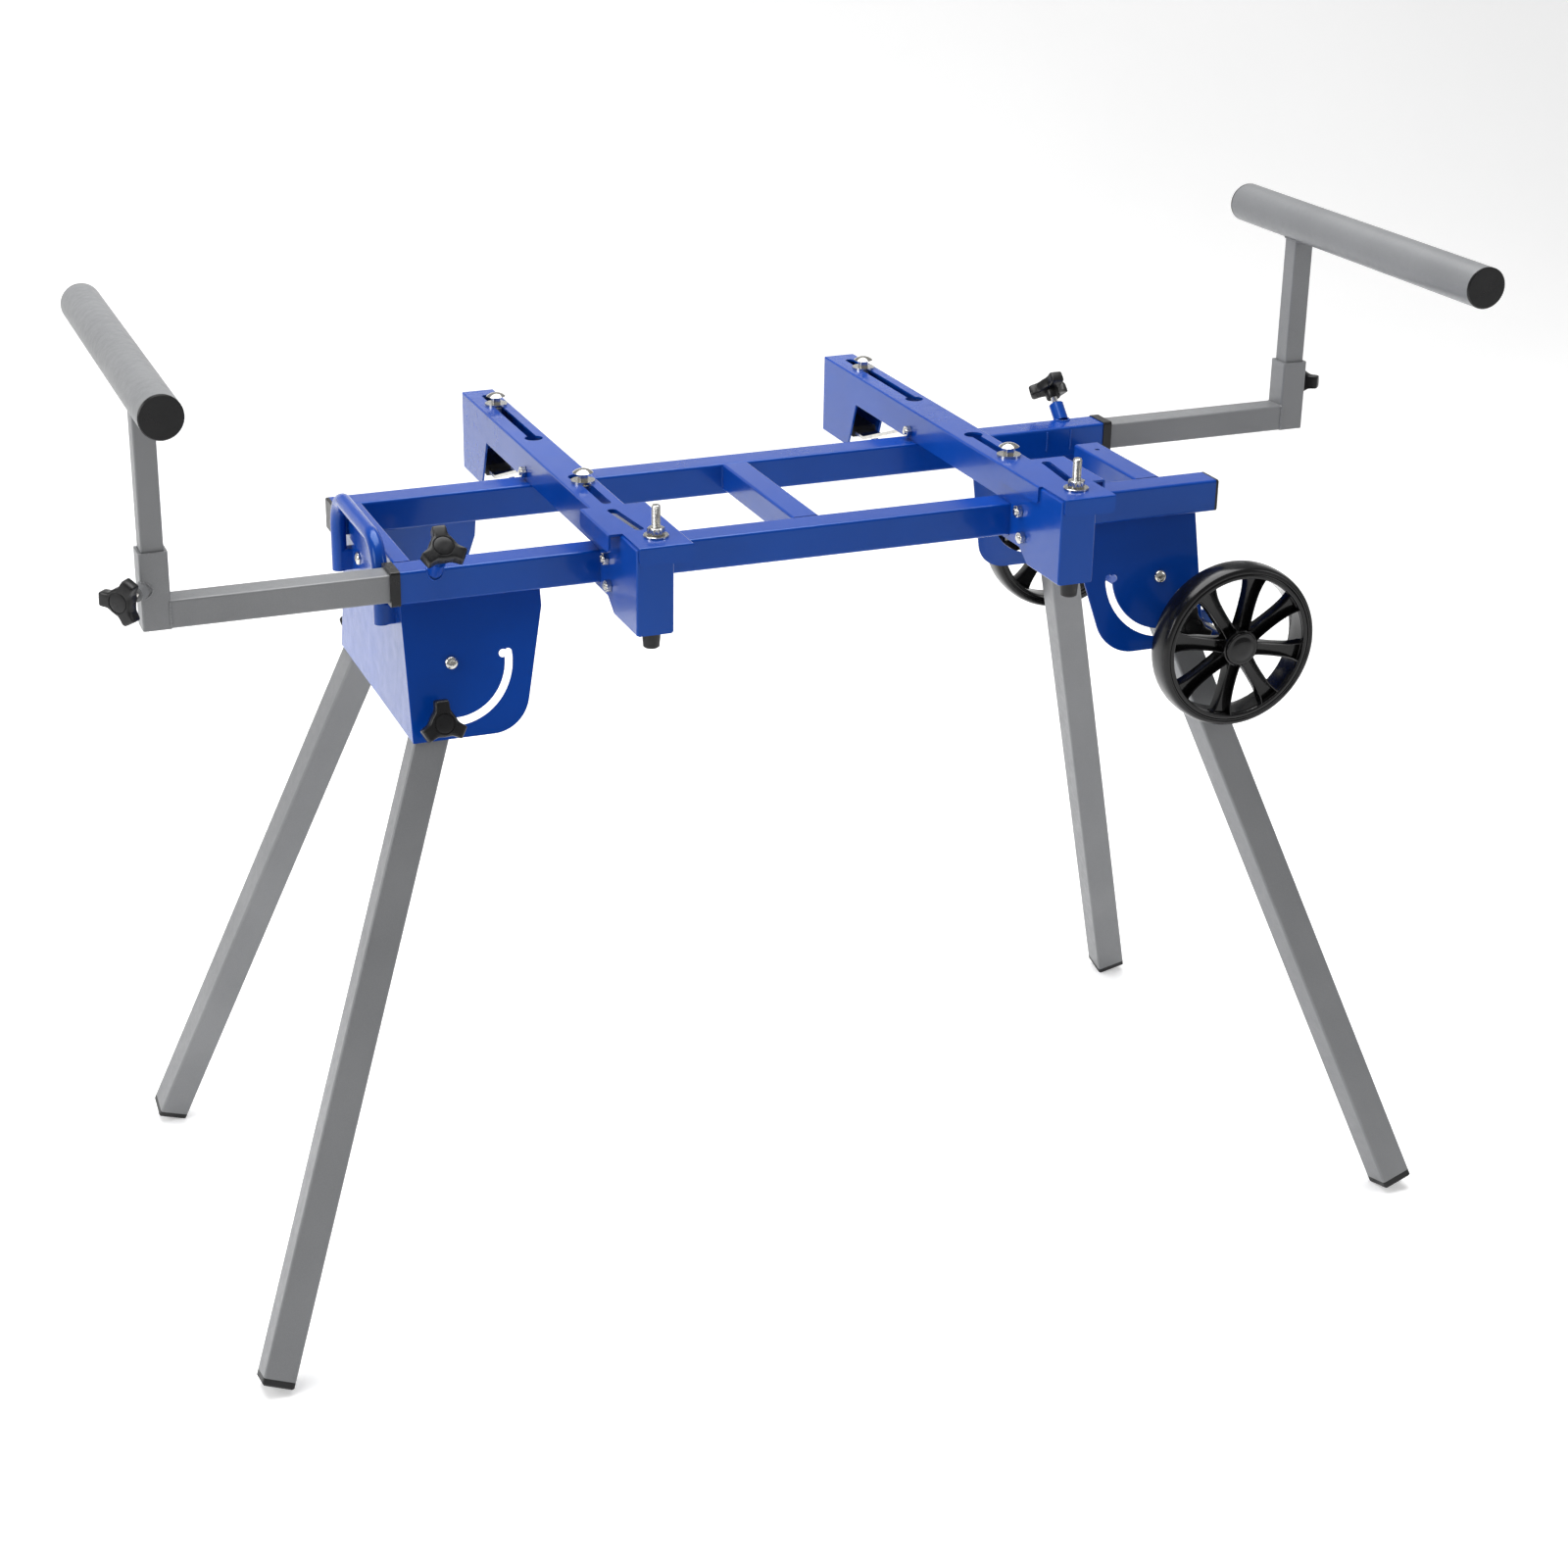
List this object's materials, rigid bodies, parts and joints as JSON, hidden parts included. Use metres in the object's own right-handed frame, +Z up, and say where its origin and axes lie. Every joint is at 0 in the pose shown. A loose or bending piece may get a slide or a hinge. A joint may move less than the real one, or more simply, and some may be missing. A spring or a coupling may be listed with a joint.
{
  "type": "miter saw stand",
  "caption": "Folding stand for a miter saw: a rail frame on splayed fold-in legs with transport wheels, sliding saw brackets and pull-out work supports.",
  "frame": {"origin": "on the floor, at the middle of the bottom of the bounding box", "axes": "+X along the rails towards the wheel end, +Y from the front rail to the rear rail, +Z up"},
  "size_m": [1.6434, 0.7606, 1.1441],
  "materials": {
    "blue_paint": "gloss powder coat",
    "grey_paint": "satin powder coat",
    "zinc": "zinc plated",
    "lever_zinc": "zinc plated",
    "black_plastic": "moulded, fine grain",
    "wheel_plastic": "moulded, gloss",
    "tyre_rubber": "moulded rubber",
    "black_rubber": "moulded rubber"
  },
  "bodies": {
    "chassis": {"front_rail": "blue_paint", "rear_rail": "blue_paint", "left_cross_member": "blue_paint", "cross_tubes": "blue_paint", "carry_handle": "blue_paint", "rail_end_plugs": "black_plastic", "arm_collars": "black_plastic", "arm_lock_bosses": "blue_paint", "left_leg_housing": "blue_paint", "right_leg_housing": "blue_paint", "wheel_axle": "zinc", "chassis_bolts": "zinc"},
    "right_front_leg_group": {"right_front_leg": "grey_paint", "right_front_foot": "black_rubber"},
    "right_front_leg_lock": {"right_front_leg_knob": "black_plastic"},
    "right_rear_leg_group": {"right_rear_leg": "grey_paint", "right_rear_foot": "black_rubber"},
    "right_rear_leg_lock": {"right_rear_leg_knob": "black_plastic"},
    "left_front_leg_group": {"left_front_leg": "grey_paint", "left_front_foot": "black_rubber"},
    "left_front_leg_lock": {"left_front_leg_knob": "black_plastic"},
    "left_rear_leg_group": {"left_rear_leg": "grey_paint", "left_rear_foot": "black_rubber"},
    "left_rear_leg_lock": {"left_rear_leg_knob": "black_plastic"},
    "left_arm_group": {"left_extension_arm": "grey_paint", "left_arm_sleeve": "grey_paint", "left_height_boss": "grey_paint"},
    "left_support_group": {"left_support_post": "grey_paint", "left_support_tube": "grey_paint", "left_tube_caps": "black_plastic"},
    "left_arm_lock": {"left_arm_knob": "black_plastic"},
    "left_height_lock": {"left_height_knob": "black_plastic"},
    "right_arm_group": {"right_extension_arm": "grey_paint", "right_arm_sleeve": "grey_paint", "right_height_boss": "grey_paint"},
    "right_support_group": {"right_support_post": "grey_paint", "right_support_tube": "grey_paint", "right_tube_caps": "black_plastic"},
    "right_arm_lock": {"right_arm_knob": "black_plastic"},
    "right_height_lock": {"right_height_knob": "black_plastic"},
    "front_wheel_group": {"front_wheel": "wheel_plastic", "front_tyre": "tyre_rubber"},
    "rear_wheel_group": {"rear_wheel": "wheel_plastic", "rear_tyre": "tyre_rubber"},
    "left_bracket_group": {"left_saw_bracket": "blue_paint", "left_bracket_cap": "blue_paint", "left_bracket_pad": "black_rubber", "left_bracket_bolts": "zinc"},
    "left_lever_group": {"left_clamp_lever": "lever_zinc", "left_lever_grip": "black_plastic"},
    "left_rear_bolt_slider": {"left_rear_saddle_bolt": "zinc"},
    "left_middle_bolt_slider": {"left_middle_saddle_bolt": "zinc"},
    "right_bracket_group": {"right_saw_bracket": "blue_paint", "right_bracket_cap": "blue_paint", "right_bracket_pad": "black_rubber", "right_bracket_bolts": "zinc"},
    "right_lever_group": {"right_clamp_lever": "lever_zinc", "right_lever_grip": "black_plastic"},
    "right_rear_bolt_slider": {"right_rear_saddle_bolt": "zinc"},
    "right_middle_bolt_slider": {"right_middle_saddle_bolt": "zinc"}
  },
  "joints": [
    {"name": "right_front_leg_fold", "type": "hinge", "parent": "chassis", "child": "right_front_leg_group", "pos_m": [0.4354, -0.17987, 0.778], "axis": [0, 0.9669, -0.2553], "range_deg": [0, 106]},
    {"name": "right_front_leg_knob_turn", "type": "hinge", "parent": "right_front_leg_group", "child": "right_front_leg_lock", "pos_m": [0.45742, -0.19583, 0.71754], "axis": [0, -0.9669, 0.2553], "range_deg": [0, 360]},
    {"name": "right_rear_leg_fold", "type": "hinge", "parent": "chassis", "child": "right_rear_leg_group", "pos_m": [0.4354, 0.11841, 0.778], "axis": [0, 0.9669, 0.2553], "range_deg": [0, 103]},
    {"name": "right_rear_leg_knob_turn", "type": "hinge", "parent": "right_rear_leg_group", "child": "right_rear_leg_lock", "pos_m": [0.4539, 0.13466, 0.71644], "axis": [0, 0.9669, 0.2553], "range_deg": [0, 360]},
    {"name": "left_front_leg_fold", "type": "hinge", "parent": "chassis", "child": "left_front_leg_group", "pos_m": [-0.4354, -0.17987, 0.778], "axis": [0, -0.9669, 0.2553], "range_deg": [0, 113]},
    {"name": "left_front_leg_knob_turn", "type": "hinge", "parent": "left_front_leg_group", "child": "left_front_leg_lock", "pos_m": [-0.45742, -0.19583, 0.71754], "axis": [0, -0.9669, 0.2553], "range_deg": [0, 360]},
    {"name": "left_rear_leg_fold", "type": "hinge", "parent": "chassis", "child": "left_rear_leg_group", "pos_m": [-0.4354, 0.11841, 0.778], "axis": [0, -0.9669, -0.2553], "range_deg": [0, 113]},
    {"name": "left_rear_leg_knob_turn", "type": "hinge", "parent": "left_rear_leg_group", "child": "left_rear_leg_lock", "pos_m": [-0.45742, 0.13437, 0.71754], "axis": [0, 0.9669, 0.2553], "range_deg": [0, 360]},
    {"name": "left_arm_slide", "type": "slide", "parent": "chassis", "child": "left_arm_group", "axis": [-1, 0, 0], "range_m": [-0.24, 0.29]},
    {"name": "left_support_slide", "type": "slide", "parent": "left_arm_group", "child": "left_support_group", "axis": [0, 0, 1], "range_m": [-0.15, 0.05]},
    {"name": "left_arm_knob_turn", "type": "hinge", "parent": "chassis", "child": "left_arm_lock", "pos_m": [-0.451, -0.16273, 0.871], "axis": [0, -0.7071, 0.7071], "range_deg": [0, 360]},
    {"name": "left_height_knob_turn", "type": "hinge", "parent": "left_arm_group", "child": "left_height_lock", "pos_m": [-0.759, -0.16273, 0.901], "axis": [-0.7071, -0.7071, 0], "range_deg": [0, 360]},
    {"name": "right_arm_slide", "type": "slide", "parent": "chassis", "child": "right_arm_group", "axis": [1, 0, 0], "range_m": [-0.24, 0.29]},
    {"name": "right_support_slide", "type": "slide", "parent": "right_arm_group", "child": "right_support_group", "axis": [0, 0, 1], "range_m": [-0.15, 0.05]},
    {"name": "right_arm_knob_turn", "type": "hinge", "parent": "chassis", "child": "right_arm_lock", "pos_m": [0.451, 0.10127, 0.871], "axis": [0, 0.7071, 0.7071], "range_deg": [0, 360]},
    {"name": "right_height_knob_turn", "type": "hinge", "parent": "right_arm_group", "child": "right_height_lock", "pos_m": [0.759, 0.10127, 0.901], "axis": [0.7071, 0.7071, 0], "range_deg": [0, 360]},
    {"name": "front_wheel_spin", "type": "hinge", "parent": "chassis", "child": "front_wheel_group", "pos_m": [0.494, -0.25073, 0.7125], "axis": [0, 1, 0], "continuous": true},
    {"name": "rear_wheel_spin", "type": "hinge", "parent": "chassis", "child": "rear_wheel_group", "pos_m": [0.494, 0.18927, 0.7125], "axis": [0, 1, 0], "continuous": true},
    {"name": "left_bracket_slide", "type": "slide", "parent": "chassis", "child": "left_bracket_group", "axis": [1, 0, 0], "range_m": [-0.14, 0.16]},
    {"name": "left_lever_turn", "type": "hinge", "parent": "left_bracket_group", "child": "left_lever_group", "pos_m": [-0.2404, 0.10227, 0.9005], "axis": [1, 0, 0], "range_deg": [0, 8]},
    {"name": "left_rear_bolt_slide", "type": "slide", "parent": "left_bracket_group", "child": "left_rear_bolt_slider", "axis": [0, 1, 0], "range_m": [-0.158, 0.042]},
    {"name": "left_middle_bolt_slide", "type": "slide", "parent": "left_bracket_group", "child": "left_middle_bolt_slider", "axis": [0, 1, 0], "range_m": [-0.082, 0.018]},
    {"name": "right_bracket_slide", "type": "slide", "parent": "chassis", "child": "right_bracket_group", "axis": [1, 0, 0], "range_m": [-0.16, 0.13]},
    {"name": "right_lever_turn", "type": "hinge", "parent": "right_bracket_group", "child": "right_lever_group", "pos_m": [0.2573, 0.10227, 0.9005], "axis": [1, 0, 0], "range_deg": [0, 8]},
    {"name": "right_rear_bolt_slide", "type": "slide", "parent": "right_bracket_group", "child": "right_rear_bolt_slider", "axis": [0, 1, 0], "range_m": [-0.158, 0.042]},
    {"name": "right_middle_bolt_slide", "type": "slide", "parent": "right_bracket_group", "child": "right_middle_bolt_slider", "axis": [0, 1, 0], "range_m": [-0.008, 0.093]}
  ]
}
